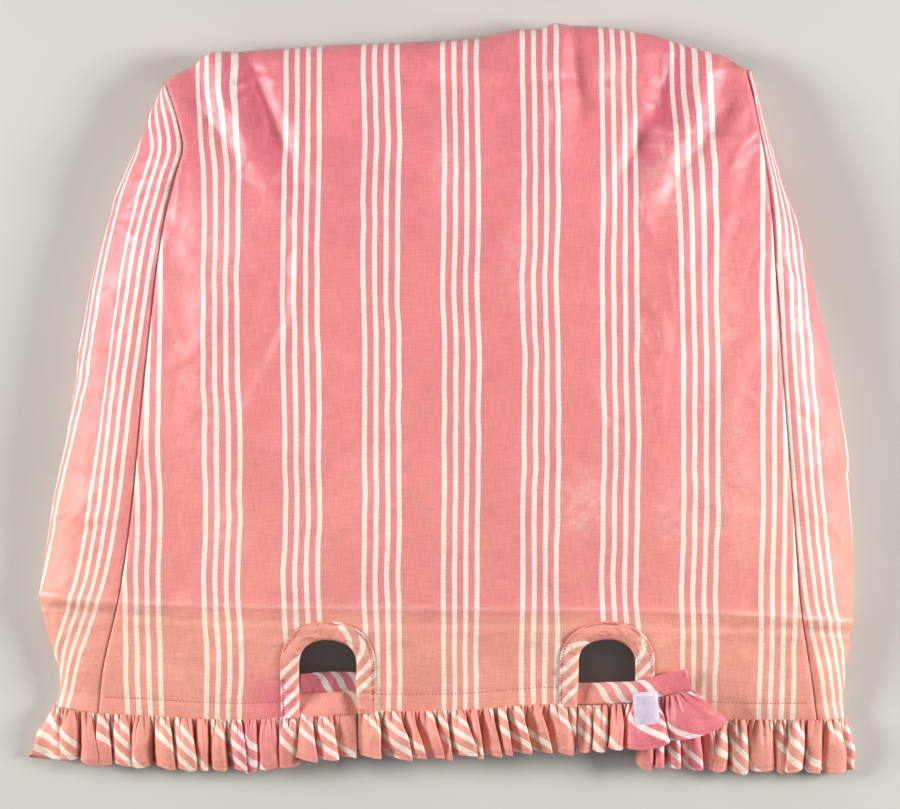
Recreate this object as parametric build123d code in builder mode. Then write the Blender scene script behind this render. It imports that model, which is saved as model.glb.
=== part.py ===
"""Loose cover of striped glazed cotton, empty and lying face up.

A tapered front is sewn to two side gussets and turns over at the top into a
shorter back. Its hem carries a gathered frill. Two arched openings run up from
the hem, and a frilled strap crosses the foot of each and swings on its sewn end.

Frame: +Z up from the surface that the cover lies on, +Y towards its closed top,
+X to the right of its face. The origin is below the middle of the whole cover.
Millimetres.
"""

import os

from build123d import *

# ---- cloth ----
CLOTH = 1.2  # one layer, drawn thicker than real cotton so that it is a solid
SEW_GAP = 0.1  # air between layers that are sewn to each other
SWING_GAP = 2.0  # air at each end of a strap that moves

# ---- levels along the cover ----
HEM_Y = -236.0  # seam between the panels and the frill
CREASE_Y = -159.0  # pressed crease above the arches
BACK_HEM_Y = -96.0  # the back stops above the arches
SHOULDER_Y = 236.0  # top ends of the side seams
FOLD_Y = 282.0  # beyond the top fold

# ---- cross-sections ----
# y, outer left, left seam, right seam, outer right, crown height, seam height, return underneath
STATIONS = [
    (HEM_Y, -290.0, -253.0, 286.0, 308.0, 26.0, 18.0, 64.0),
    (CREASE_Y, -296.0, -237.0, 272.0, 311.0, 44.0, 33.0, 56.0),
    (0.0, -272.0, -220.0, 262.0, 298.0, 60.0, 45.0, 38.0),
    (150.0, -238.0, -202.0, 249.0, 268.0, 58.0, 40.0, 22.0),
    (SHOULDER_Y, -210.0, -200.0, 231.0, 241.0, 44.0, 27.0, 12.0),
    (FOLD_Y, -210.0, -200.0, 231.0, 241.0, 24.0, 12.0, 12.0),
]

# ---- plan of the top fold ----
FOLD_POINTS = [
    (-200.0, 236.0),
    (-176.0, 256.0),
    (-60.0, 268.0),
    (93.0, 279.0),
    (180.0, 267.0),
    (226.0, 247.0),
    (231.0, 236.0),
]

# ---- arches ----
ARCH_HALF = 23.5  # half the width of the cut opening
ARCH_TOP_Y = -178.0
LEFT_ARCH_X = -81.0
RIGHT_ARCH_X = 127.5
BINDING = 12.7  # half-inch bias strip on the face
BINDING_THICK = 1.0
FACING_DEPTH = 15.0  # topstitched facing behind the hem
FACING_THICK = 0.9

# ---- frill ----
FRILL_DROP = 40.0
FRILL_BODY = 6.0  # thickness that the gathers take up

# ---- straps ----
STRAP_THICK = 1.4
STRAP_FRILL_BODY = 5.0
STRAP_FRILL_START = 6.0  # from the sewn end
LEFT_STRAP_Z = 24.7  # level of its middle
TAB_BACK_DROP = 4.2  # the left tab is folded behind its strap
RIGHT_STRAP_LINE = [(107.5, 26.0), (146.0, 35.5), (216.0, 35.5)]
PATCH_WIDTH = 18.5
PATCH_HEIGHT = 24.5
PATCH_THICK = 1.4

PARTS = "parts"
os.makedirs(PARTS, exist_ok=True)


def station(y):
    """The cross-section at y, worked out between the two nearest stations."""
    y = max(y, HEM_Y)
    for low, high in zip(STATIONS, STATIONS[1:]):
        if y <= high[0]:
            share = (y - low[0]) / (high[0] - low[0])
            return [a + (b - a) * share for a, b in zip(low, high)]
    return list(STATIONS[-1])


def levels_between(y_low, y_high):
    return [y_low] + [s[0] for s in STATIONS if y_low < s[0] < y_high] + [y_high]


def plane_at(y):
    """A plane across the cover, with its local x along +X and local y along +Z."""
    return Plane(origin=(0, y, 0), x_dir=(1, 0, 0), z_dir=(0, -1, 0))


def front_section(y, lift, thick):
    """Closed band that follows the crown from seam to seam."""
    left, right, crown, seam = (station(y)[i] for i in (2, 3, 5, 6))
    middle = (left + right) / 2
    low = lift - thick
    with BuildSketch(plane_at(y)) as sketch:
        with BuildLine():
            ThreePointArc((left, seam + lift), (middle, crown + lift), (right, seam + lift))
            Line((right, seam + lift), (right, seam + low))
            ThreePointArc((right, seam + low), (middle, crown + low), (left, seam + low))
            Line((left, seam + low), (left, seam + lift))
        make_face()
    return sketch.sketch


def front_layer(lift, thick, y_low=HEM_Y, y_high=FOLD_Y):
    """A layer parallel to the front's face."""
    levels = levels_between(y_low, y_high)
    return loft([front_section(y, lift, thick) for y in levels], ruled=True, mode=Mode.PRIVATE)


def inset(path, thick):
    """The path moved inwards, to its left-hand side, by a constant thickness."""
    moved = []
    for i, point in enumerate(path):
        here = Vector(*point)
        ways = []
        if i > 0:
            ways.append((here - Vector(*path[i - 1])).normalized())
        if i < len(path) - 1:
            ways.append((Vector(*path[i + 1]) - here).normalized())
        sides = [Vector(-way.Y, way.X) for way in ways]
        middle = (sides[0] + sides[-1]).normalized()
        moved.append(here + middle * (thick / middle.dot(sides[0])))
    return [(p.X, p.Y) for p in moved]


def gusset_section(y, side, flare=0.0, lift=0.0, thick=CLOTH):
    """Closed band from a side seam round to the ground and in under the cover."""
    row = station(y)
    outer, seam_x, seam_z, under = (row[1], row[2], row[6] + lift, row[7])
    if side > 0:
        outer, seam_x = row[4], row[3]
    start = abs(seam_x) + SEW_GAP
    outer = abs(outer) + flare
    reach = outer - start
    path = [
        (-start, seam_z),
        (-start - 0.5 * reach, seam_z * 0.9),
        (-start - 0.88 * reach, seam_z * 0.62),
        (-outer, seam_z * 0.34),
        (-outer + 2.0, seam_z * 0.13),
        (-outer + 8.0, 0),
        (-outer + under, 0),
    ]
    inner = inset(path, thick)
    inner[0] = (path[0][0], inner[0][1])
    ring = path + list(reversed(inner))
    with BuildSketch(plane_at(y)) as sketch:
        with BuildLine():
            Polyline(*[(-side * x, z) for x, z in ring], close=True)
        make_face()
    return sketch.sketch


def over_plan(layer, outline):
    """The piece of a layer that stands over a plan outline."""
    return layer & extrude(outline, amount=90, mode=Mode.PRIVATE)


def plan(points):
    with BuildSketch(Plane.XY) as sketch:
        with BuildLine():
            Polyline(*points, close=True)
        make_face()
    return sketch.sketch


def plan_box(x_low, x_high, y_low, y_high):
    return plan([(x_low, y_low), (x_high, y_low), (x_high, y_high), (x_low, y_high)])


def arch_outline(centre_x, grow, low_y=HEM_Y - 1):
    """An arch grown outwards by `grow`, open at its foot."""
    half = ARCH_HALF + grow
    spring_y = ARCH_TOP_Y + grow - half
    with BuildSketch(Plane.XY) as sketch:
        with BuildLine():
            Line((centre_x - half, low_y), (centre_x - half, spring_y))
            ThreePointArc(
                (centre_x - half, spring_y),
                (centre_x, ARCH_TOP_Y + grow),
                (centre_x + half, spring_y),
            )
            Line((centre_x + half, spring_y), (centre_x + half, low_y))
            Line((centre_x + half, low_y), (centre_x - half, low_y))
        make_face()
    return sketch.sketch


def band_across(points, thick):
    """A band of this thickness that follows points across the cover, before it is cut in plan."""
    upper = [(x, z + thick / 2) for x, z in points]
    lower = [(x, z - thick / 2) for x, z in reversed(points)]
    with BuildSketch(Plane(origin=(0, -190, 0), x_dir=(1, 0, 0), z_dir=(0, -1, 0))) as sketch:
        with BuildLine():
            Polyline(*upper, *lower, close=True)
        make_face()
    return extrude(sketch.sketch, amount=90, mode=Mode.PRIVATE)


def keep(piece, name):
    piece.label = name
    export_step(piece, f"{PARTS}/{name}.step")


# ---- front, with its two arched openings ----
seam_left = [(s[2], s[0]) for s in STATIONS[:-1]]
seam_right = [(s[3], s[0]) for s in STATIONS[:-1]]
front_plan = plan(seam_left + FOLD_POINTS[1:-1] + list(reversed(seam_right)))

front_solid = over_plan(front_layer(0, CLOTH), front_plan)

with BuildPart() as front_panel:
    add(front_solid)
    extrude(arch_outline(LEFT_ARCH_X, 0), amount=90, mode=Mode.SUBTRACT)
    extrude(arch_outline(RIGHT_ARCH_X, 0), amount=90, mode=Mode.SUBTRACT)
keep(front_panel.part, "front_panel")

# ---- back: down from the top fold, then flat on the ground to a hem above the arches ----
fold_outer = plan(FOLD_POINTS)
fold_inner = plan([(x * 0.994, y - CLOTH * 1.6) for x, y in FOLD_POINTS])
shoulder_strip = plan_box(-260, 260, SHOULDER_Y - 5, SHOULDER_Y + 1.6)
above_front = front_layer(60 - CLOTH - SEW_GAP, 60, SHOULDER_Y - 6)
back_side_left = [(s[1] + s[7] + SEW_GAP, s[0]) for s in STATIONS[2:-1]]
back_side_right = [(s[4] - s[7] - SEW_GAP, s[0]) for s in STATIONS[2:-1]]
back_low = station(BACK_HEM_Y)
back_plan = plan(
    [(back_low[1] + back_low[7] + SEW_GAP, BACK_HEM_Y)]
    + back_side_left
    + [(x * 0.985, y - 0.5) for x, y in FOLD_POINTS[1:-1]]
    + list(reversed(back_side_right))
    + [(back_low[4] - back_low[7] - SEW_GAP, BACK_HEM_Y)]
)

with BuildPart() as back_panel:
    extrude(fold_outer - fold_inner, amount=60)
    extrude(shoulder_strip, amount=60, mode=Mode.SUBTRACT)
    add(above_front, mode=Mode.SUBTRACT)
    extrude(back_plan, amount=CLOTH)
keep(back_panel.part, "back_panel")

# ---- gussets ----
gusset_levels = [s[0] for s in STATIONS[:-1]]
left_sections = [gusset_section(y, -1) for y in gusset_levels]
right_sections = [gusset_section(y, 1) for y in gusset_levels]

with BuildPart() as left_gusset:
    loft(left_sections, ruled=True)
keep(left_gusset.part, "left_gusset")

with BuildPart() as right_gusset:
    loft(right_sections, ruled=True)
keep(right_gusset.part, "right_gusset")

# ---- bindings: folded over the edge of each arch, front and back ----
binding_layer = front_layer(BINDING_THICK, CLOTH + 2 * BINDING_THICK, HEM_Y, 0)


def binding_ring(centre_x):
    outer = arch_outline(centre_x, BINDING - BINDING_THICK)
    return outer - arch_outline(centre_x, -BINDING_THICK, HEM_Y - 2)


left_ring = over_plan(binding_layer, binding_ring(LEFT_ARCH_X))
right_ring = over_plan(binding_layer, binding_ring(RIGHT_ARCH_X))

with BuildPart() as left_arch_binding:
    add(left_ring)
    add(front_panel.part, mode=Mode.SUBTRACT)
keep(left_arch_binding.part, "left_arch_binding")

with BuildPart() as right_arch_binding:
    add(right_ring)
    add(front_panel.part, mode=Mode.SUBTRACT)
keep(right_arch_binding.part, "right_arch_binding")

# ---- hem facings, behind the front between the bindings ----
reach = ARCH_HALF + BINDING - BINDING_THICK + SEW_GAP
facing_layer = front_layer(-CLOTH - SEW_GAP, FACING_THICK, HEM_Y, HEM_Y + 40)
facing_low = HEM_Y - 1
facing_high = HEM_Y + FACING_DEPTH
left_facing_plan = plan_box(-246, LEFT_ARCH_X - reach, facing_low, facing_high)
middle_facing_plan = plan_box(LEFT_ARCH_X + reach, RIGHT_ARCH_X - reach, facing_low, facing_high)
right_facing_plan = plan_box(RIGHT_ARCH_X + reach, 278, facing_low, facing_high)

with BuildPart() as left_hem_facing:
    add(over_plan(facing_layer, left_facing_plan))
keep(left_hem_facing.part, "left_hem_facing")

with BuildPart() as middle_hem_facing:
    add(over_plan(facing_layer, middle_facing_plan))
keep(middle_hem_facing.part, "middle_hem_facing")

with BuildPart() as right_hem_facing:
    add(over_plan(facing_layer, right_facing_plan))
keep(right_hem_facing.part, "right_hem_facing")

# ---- frill: gathered strips that hang on from the hem ----
FRILL_Y = HEM_Y - SEW_GAP


def frill_section(y, drop, x_low, x_high):
    """Closed band between two places across the hem, as thick as the gathers."""
    left, right, crown, seam = (station(HEM_Y)[i] for i in (2, 3, 5, 6))
    middle, half = (left + right) / 2, (right - left) / 2
    top = FRILL_BODY / 2 - CLOTH / 2 - drop
    height = [crown - (crown - seam) * ((x - middle) / half) ** 2 + top for x in (x_low, x_high)]
    mid_x = (x_low + x_high) / 2
    mid_z = crown - (crown - seam) * ((mid_x - middle) / half) ** 2 + top
    with BuildSketch(plane_at(y)) as sketch:
        with BuildLine():
            ThreePointArc((x_low, height[0]), (mid_x, mid_z), (x_high, height[1]))
            Line((x_high, height[1]), (x_high, height[1] - FRILL_BODY))
            ThreePointArc(
                (x_high, height[1] - FRILL_BODY),
                (mid_x, mid_z - FRILL_BODY),
                (x_low, height[0] - FRILL_BODY),
            )
            Line((x_low, height[0] - FRILL_BODY), (x_low, height[0]))
        make_face()
    return sketch.sketch


frill_low = FRILL_Y - FRILL_DROP
arch_edges = [
    LEFT_ARCH_X - ARCH_HALF,
    LEFT_ARCH_X + ARCH_HALF + 1,
    RIGHT_ARCH_X - ARCH_HALF - 1,
    RIGHT_ARCH_X + ARCH_HALF,
]
left_seam_x = STATIONS[0][2] - 3 * SEW_GAP
right_seam_x = STATIONS[0][3] + 3 * SEW_GAP
left_front_run = [
    frill_section(FRILL_Y, 0, left_seam_x, arch_edges[0]),
    frill_section(frill_low, 3, left_seam_x, arch_edges[0]),
]
middle_run = [
    frill_section(FRILL_Y, 0, arch_edges[1], arch_edges[2]),
    frill_section(frill_low, 3, arch_edges[1], arch_edges[2]),
]
right_front_run = [
    frill_section(FRILL_Y, 0, arch_edges[3], right_seam_x),
    frill_section(frill_low, 3, arch_edges[3], right_seam_x),
]
left_side_run = [gusset_section(FRILL_Y, -1, 0, 2.4, 3), gusset_section(frill_low, -1, 18, 0.5, 3)]
right_side_run = [gusset_section(FRILL_Y, 1, 0, 2.4, 3), gusset_section(frill_low, 1, 3, 0.5, 3)]

with BuildPart() as middle_frill:
    loft(middle_run, ruled=True)
keep(middle_frill.part, "middle_frill")

with BuildPart() as left_frill:
    loft(left_front_run, ruled=True)
    loft(left_side_run, ruled=True)
keep(left_frill.part, "left_frill")

with BuildPart() as right_frill:
    loft(right_front_run, ruled=True)
    loft(right_side_run, ruled=True)
keep(right_frill.part, "right_frill")

# ---- left strap: crosses the arch, its end folded back behind it ----
left_hinge_x = LEFT_ARCH_X + ARCH_HALF - BINDING_THICK - SWING_GAP
left_end_x = LEFT_ARCH_X - ARCH_HALF + BINDING_THICK + SWING_GAP
tab_hinge_x = left_hinge_x - 3
tab_z = LEFT_STRAP_Z - TAB_BACK_DROP
left_band = band_across([(left_end_x, LEFT_STRAP_Z), (left_hinge_x, LEFT_STRAP_Z)], STRAP_THICK)
tab_band = band_across([(left_end_x, tab_z), (tab_hinge_x, tab_z)], STRAP_THICK)
left_full = band_across([(left_end_x, LEFT_STRAP_Z), (left_hinge_x, LEFT_STRAP_Z)], STRAP_FRILL_BODY)
left_band_plan = plan_box(left_end_x, left_hinge_x, -235, -219)
tab_plan = plan_box(left_end_x, tab_hinge_x, -222, -206)
left_frill_plan = plan_box(left_end_x, left_hinge_x - STRAP_FRILL_START, -271, -235 - SEW_GAP)
tab_rise = TAB_BACK_DROP - STRAP_THICK

with BuildPart() as left_strap:
    add(over_plan(left_band, left_band_plan))
keep(left_strap.part, "left_strap")

with BuildPart() as left_strap_tab:
    add(over_plan(tab_band, tab_plan))
    with Locations((left_end_x + STRAP_THICK / 2, -220.5, tab_z + STRAP_THICK / 2 + tab_rise / 2)):
        Box(STRAP_THICK, 3, tab_rise)
keep(left_strap_tab.part, "left_strap_tab")

with BuildPart() as left_strap_frill:
    add(over_plan(left_full, left_frill_plan))
keep(left_strap_frill.part, "left_strap_frill")

with BuildPart() as left_strap_patch:
    with Locations((left_end_x + 4 + PATCH_WIDTH / 2, -214, tab_z - STRAP_THICK / 2 - PATCH_THICK / 2)):
        Box(PATCH_WIDTH, 14, PATCH_THICK)
keep(left_strap_patch.part, "left_strap_patch")

# ---- right strap: crosses its arch and lies over the panel beyond ----
right_band = band_across(RIGHT_STRAP_LINE, STRAP_THICK)
right_full = band_across(RIGHT_STRAP_LINE, STRAP_FRILL_BODY)
hinge_x = RIGHT_STRAP_LINE[0][0]
bend_x, flat_z = RIGHT_STRAP_LINE[1]
right_band_plan = plan(
    [(hinge_x, -229), (bend_x, -228), (192, -221), (196, -219), (184, -199), (149, -211), (hinge_x, -213)]
)
right_frill_plan = plan(
    [
        (hinge_x + STRAP_FRILL_START, -228.9),
        (bend_x, -228.1),
        (192, -221.1),
        (196.1, -219.1),
        (214, -235),
        (194, -255),
        (175, -260),
        (147, -264),
        (hinge_x + STRAP_FRILL_START, -266),
    ]
)

with BuildPart() as right_strap:
    add(over_plan(right_band, right_band_plan))
keep(right_strap.part, "right_strap")

with BuildPart() as right_strap_frill:
    add(over_plan(right_full, right_frill_plan))
keep(right_strap_frill.part, "right_strap_frill")

with BuildPart() as right_strap_patch:
    with Locations(Location((156.5, -231, flat_z + STRAP_FRILL_BODY / 2 + PATCH_THICK / 2), (0, 0, 5))):
        Box(PATCH_WIDTH, PATCH_HEIGHT, PATCH_THICK)
keep(right_strap_patch.part, "right_strap_patch")

# ---- patches behind the hem, which the straps close on to ----
patch_layer = front_layer(-CLOTH - FACING_THICK - 2 * SEW_GAP, PATCH_THICK, HEM_Y, HEM_Y + 40)
patch_low = HEM_Y + 1
patch_high = patch_low + PATCH_HEIGHT
left_patch_plan = plan_box(-137, -137 + PATCH_WIDTH, patch_low, patch_high)
right_patch_plan = plan_box(165, 165 + PATCH_WIDTH, patch_low, patch_high)

with BuildPart() as left_panel_patch:
    add(over_plan(patch_layer, left_patch_plan))
keep(left_panel_patch.part, "left_panel_patch")

with BuildPart() as right_panel_patch:
    add(over_plan(patch_layer, right_patch_plan))
keep(right_panel_patch.part, "right_panel_patch")
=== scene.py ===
"""Loose cover of striped glazed cotton with a gathered frill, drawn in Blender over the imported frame."""

import math

import bpy
import numpy as np
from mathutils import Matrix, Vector


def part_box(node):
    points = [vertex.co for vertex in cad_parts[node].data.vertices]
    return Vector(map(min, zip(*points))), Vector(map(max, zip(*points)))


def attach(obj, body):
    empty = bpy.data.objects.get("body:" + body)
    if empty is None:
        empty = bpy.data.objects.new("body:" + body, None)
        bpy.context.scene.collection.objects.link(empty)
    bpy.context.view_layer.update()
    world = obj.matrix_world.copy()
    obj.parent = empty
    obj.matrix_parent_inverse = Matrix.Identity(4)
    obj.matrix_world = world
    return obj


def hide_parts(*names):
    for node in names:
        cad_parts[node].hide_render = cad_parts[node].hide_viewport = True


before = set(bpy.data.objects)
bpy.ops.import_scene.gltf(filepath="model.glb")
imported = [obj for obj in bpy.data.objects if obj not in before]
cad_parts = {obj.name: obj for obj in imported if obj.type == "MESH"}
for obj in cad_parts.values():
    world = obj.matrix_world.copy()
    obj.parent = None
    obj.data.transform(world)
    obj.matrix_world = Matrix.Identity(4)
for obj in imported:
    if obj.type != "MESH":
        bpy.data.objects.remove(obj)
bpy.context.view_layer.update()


# ---------------------------------------------------------------- camera

camera = bpy.data.objects.new("camera", bpy.data.cameras.new("camera"))
bpy.context.scene.collection.objects.link(camera)
bpy.context.scene.camera = camera
CAMERA_HEIGHT = 2.4
CLOTH_HEIGHT = 0.03  # about the middle of the lying cover
VIEW_WIDTH = 0.6723  # what the picture's width shows at that height
SENSOR_WIDTH = 36.0
camera.location = (0.0105, -0.0049, CAMERA_HEIGHT)
camera.data.sensor_width = SENSOR_WIDTH
camera.data.lens = SENSOR_WIDTH * (CAMERA_HEIGHT - CLOTH_HEIGHT) / VIEW_WIDTH
camera.data.clip_start = 0.05


# ---------------------------------------------------------------- sizes, in mm

MM = 0.001
CLOTH = 0.45  # thickness
STRIPE_REPEAT = 59.2  # one group of four stripes and the plain pink beside it
STRIPE_PITCH = 8.45
STRIPE_WIDTH = 3.75
FIRST_STRIPE = 6.0  # middle of a group's first stripe
BIAS = math.radians(45)


def node_middle(node):
    """The middle of a CAD node's box, in mm."""
    low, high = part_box(node)
    return tuple((a + b) / 2 / MM for a, b in zip(low, high))


def node_size(node):
    """The width and height of a CAD node's box seen from above, in mm."""
    low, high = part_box(node)
    return (high[0] - low[0]) / MM, (high[1] - low[1]) / MM


# ---------------------------------------------------------------- small mathematics


def curve(*points):
    """A smooth function through (position, value) points that rise in position."""
    t = np.array([p[0] for p in points], float)
    v = np.array([p[1] for p in points], float)
    slope = np.gradient(v, t)

    def at(x):
        x = np.clip(np.asarray(x, float), t[0], t[-1])
        i = np.clip(np.searchsorted(t, x) - 1, 0, len(t) - 2)
        h = t[i + 1] - t[i]
        s = (x - t[i]) / h
        a = (2 * s**3 - 3 * s**2 + 1) * v[i] + (s**3 - 2 * s**2 + s) * h * slope[i]
        return a + (3 * s**2 - 2 * s**3) * v[i + 1] + (s**3 - s**2) * h * slope[i + 1]

    return at


def distances(*coordinates):
    """How far along a line each of its points lies."""
    steps = np.sqrt(sum(np.diff(c) ** 2 for c in coordinates))
    return np.concatenate([[0], np.cumsum(steps)])


def smooth(low, high, x):
    """0 at `low`, 1 at `high`, and eased between."""
    s = np.clip((np.asarray(x, float) - low) / (high - low), 0, 1)
    return s * s * (3 - 2 * s)


def bell(x, width):
    return np.exp(-((x / width) ** 2))


def noise(x, y, size, seed):
    """Soft noise from -1 to 1, with lumps about `size` across."""
    table = np.random.RandomState(seed).uniform(-1, 1, (64, 64))
    x, y = np.asarray(x, float) / size + 1000.5, np.asarray(y, float) / size + 1000.5
    i, j = np.floor(x).astype(int), np.floor(y).astype(int)
    fx, fy = x - i, y - j
    fx, fy = fx * fx * (3 - 2 * fx), fy * fy * (3 - 2 * fy)

    def corner(a, b):
        return table[(i + a) % 64, (j + b) % 64]

    low = corner(0, 0) * (1 - fx) + corner(1, 0) * fx
    high = corner(0, 1) * (1 - fx) + corner(1, 1) * fx
    return low * (1 - fy) + high * fy


def ridges(x, y, size, seed):
    """Thin raised creases on a flat ground, from 0 to 1."""
    warp = 0.35 * size
    wx = x + warp * noise(x, y, size * 1.7, seed + 1)
    wy = y + warp * noise(x, y, size * 1.7, seed + 2)
    return np.clip(1 - np.abs(noise(wx, wy, size, seed)) * 4.5, 0, 1) ** 1.6


def fold(x, y, points, width, height, skew=0.0):
    """A soft fold along a line of points. A skewed one is steeper on one side."""
    best = np.full(np.shape(x), 1e9)
    side = np.zeros(np.shape(x))
    along = np.zeros(np.shape(x))
    lengths = [math.dist(a, b) for a, b in zip(points, points[1:])]
    total, done = sum(lengths), 0.0
    for (ax, ay), (bx, by), length in zip(points, points[1:], lengths):
        ux, uy = (bx - ax) / length, (by - ay) / length
        s = np.clip((x - ax) * ux + (y - ay) * uy, 0, length)
        dx, dy = x - ax - s * ux, y - ay - s * uy
        d = np.hypot(dx, dy)
        near = d < best
        best = np.where(near, d, best)
        side = np.where(near, np.sign(dx * -uy + dy * ux), side)
        along = np.where(near, (done + s) / total, along)
        done += length
    reach = width * (1 + skew * side)
    taper = np.sin(np.pi * np.clip(0.06 + 0.88 * along, 0, 1)) ** 0.7
    return height * taper * bell(best, reach)


# ---------------------------------------------------------------- the cover's outline and heights, in mm

left_seam = curve(
    (-244, -254), (-203, -249), (-152, -237), (-81, -226), (-1, -218), (55, -212), (99, -207), (140, -200), (166, -193),
    (186, -188), (206, -192), (238, -203),
)
right_seam = curve(
    (-244, 286), (-210, 281), (-164, 273), (-87, 266), (-1, 259), (86, 253), (154, 248), (202, 241), (243, 233)
)
left_edge = curve(
    (-244, -288), (-218, -283), (-181, -291), (-151, -296), (-106, -292), (-2, -273), (103, -255), (148, -241),
    (215, -213), (238, -205),
)
right_edge = curve(
    (-244, 307), (-216, 307), (-173, 311), (-152, 312), (-55, 309), (-1, 302), (61, 289), (109, 276), (171, 257),
    (203, 248), (243, 238),
)
hem_line = curve(
    (-298, -232), (-254, -238), (-229, -239), (-137, -242), (-104, -240), (-60, -236), (10, -235), (107, -231),
    (150, -238), (212, -242), (286, -243), (311, -243),
)
top_line = curve(
    (-205, 233), (-200, 240), (-192, 245), (-182, 250), (-174, 257), (-168, 259), (-150, 260), (-60, 265), (-27, 266),
    (33, 270), (62, 276), (78, 277), (90, 281), (96, 280), (122, 279), (160, 273), (192, 264), (206, 260), (220, 255),
    (230, 249), (236, 245),
)
crease_line = curve((-300, -147), (-237, -152), (-100, -156), (20, -157), (150, -158), (272, -164), (312, -168))
crown = curve((-244, 25), (-160, 43), (-80, 53), (0, 58), (100, 57), (180, 52), (236, 42), (282, 30))
seam_height = curve((-244, 18), (-160, 32), (-80, 40), (0, 43), (100, 41), (180, 35), (236, 26), (282, 18))
under_reach = curve((-244, 64), (-160, 56), (0, 38), (150, 22), (243, 12))
TOP_ROLL = 13.0  # radius of the turned top

ARCH_HALF = 22.5
ARCH_TOP = -179.0
ARCH_SPRING = -199.0
ARCH_SQUARE = 2.35  # 2 is a half circle, and more is squarer
TOPSTITCH = 14.0  # height of the hem's topstitch above its seam
HINGE_TO_ARCH = 20.0  # from a strap's hinge to the middle of the arch that it crosses
left_end_x, left_hinge_x = (float(corner.x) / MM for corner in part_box("left_strap"))
right_hinge_x = float(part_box("right_strap")[0].x) / MM
LEFT_ARCH_X = left_hinge_x - HINGE_TO_ARCH
RIGHT_ARCH_X = right_hinge_x + HINGE_TO_ARCH
BINDING = 12.7  # width of the arches' bias strip
ARCH_REACH = ARCH_HALF + BINDING + 0.6  # from an arch's middle to the hem beside its binding
BACK_HEM = -96.0


def front_height(x, y):
    """The front's height before its small wrinkles."""
    left, right = left_seam(y), right_seam(y)
    middle, half = (left + right) / 2, (right - left) / 2
    across = np.clip(np.abs((x - middle) / half), 0, 1.05)
    top, side = crown(y), seam_height(y)
    z = top - (top - side) * across**2.3
    roll = np.clip(np.minimum(TOP_ROLL, 0.62 * z), 3, TOP_ROLL)
    near = np.clip(roll - (top_line(x) - y), 0, roll)
    return z - (roll - np.sqrt(np.maximum(roll**2 - near**2, 0)))


def arch_distance(x, y, centre_x):
    """How far a point lies outside an arch's opening, and less than 0 inside it."""
    above = np.maximum(y - ARCH_SPRING, 0) * ARCH_HALF / (ARCH_TOP - ARCH_SPRING)
    power = ARCH_SQUARE
    return (np.abs(x - centre_x) ** power + above**power) ** (1 / power) - ARCH_HALF


def scattered_creases(seed, regions):
    """Short bent creases: (points, width, height, skew) for each, over regions of the cloth."""
    rng = np.random.RandomState(seed)
    made = []
    for count, x_low, x_high, y_low, y_high, slant, size in regions:
        for _ in range(count):
            x, y = rng.uniform(x_low, x_high), rng.uniform(y_low, y_high)
            way = math.radians(90 + slant + rng.normal(0, 24))
            length = rng.uniform(22, 62) * (0.6 + 0.4 * size)
            bend = rng.normal(0, 0.35)
            points = [(x, y)]
            for _ in range(3):
                x, y = x + length / 3 * math.cos(way), y + length / 3 * math.sin(way)
                points.append((x, y))
                way += bend
            up = rng.choice([-0.75, 1.0])
            made.append((points, rng.uniform(2.2, 5.0), up * size * rng.uniform(0.5, 1.25), rng.uniform(-0.45, 0.45)))
    return made


def creases(x, y, made):
    x, y = np.broadcast_arrays(np.asarray(x, float), np.asarray(y, float))
    shape = x.shape
    x, y = x.ravel(), y.ravel()
    z = np.zeros(len(x))
    for points, width, height, skew in made:
        xs, ys = [p[0] for p in points], [p[1] for p in points]
        reach = 3 * width
        near = (x > min(xs) - reach) & (x < max(xs) + reach) & (y > min(ys) - reach) & (y < max(ys) + reach)
        if np.any(near):
            z[near] += fold(x[near], y[near], points, width, height, skew)
    return z.reshape(shape)


FRONT_CREASES = scattered_creases(
    7,
    [
        (22, -195, -95, 60, 225, 12, 1.25), (12, -215, -100, -120, 60, 0, 0.8), (14, 140, 225, 110, 215, -14, 1.3),
        (14, 90, 240, -60, 110, 4, 0.9), (14, -90, 90, 90, 235, 0, 0.7), (8, -90, 90, -120, 90, 8, 0.55),
        (12, -235, -130, -225, -165, 26, 0.75), (12, 180, 265, -225, -165, -26, 0.75), (8, -50, 95, -225, -165, 0, 0.5),
    ],
)


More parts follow.
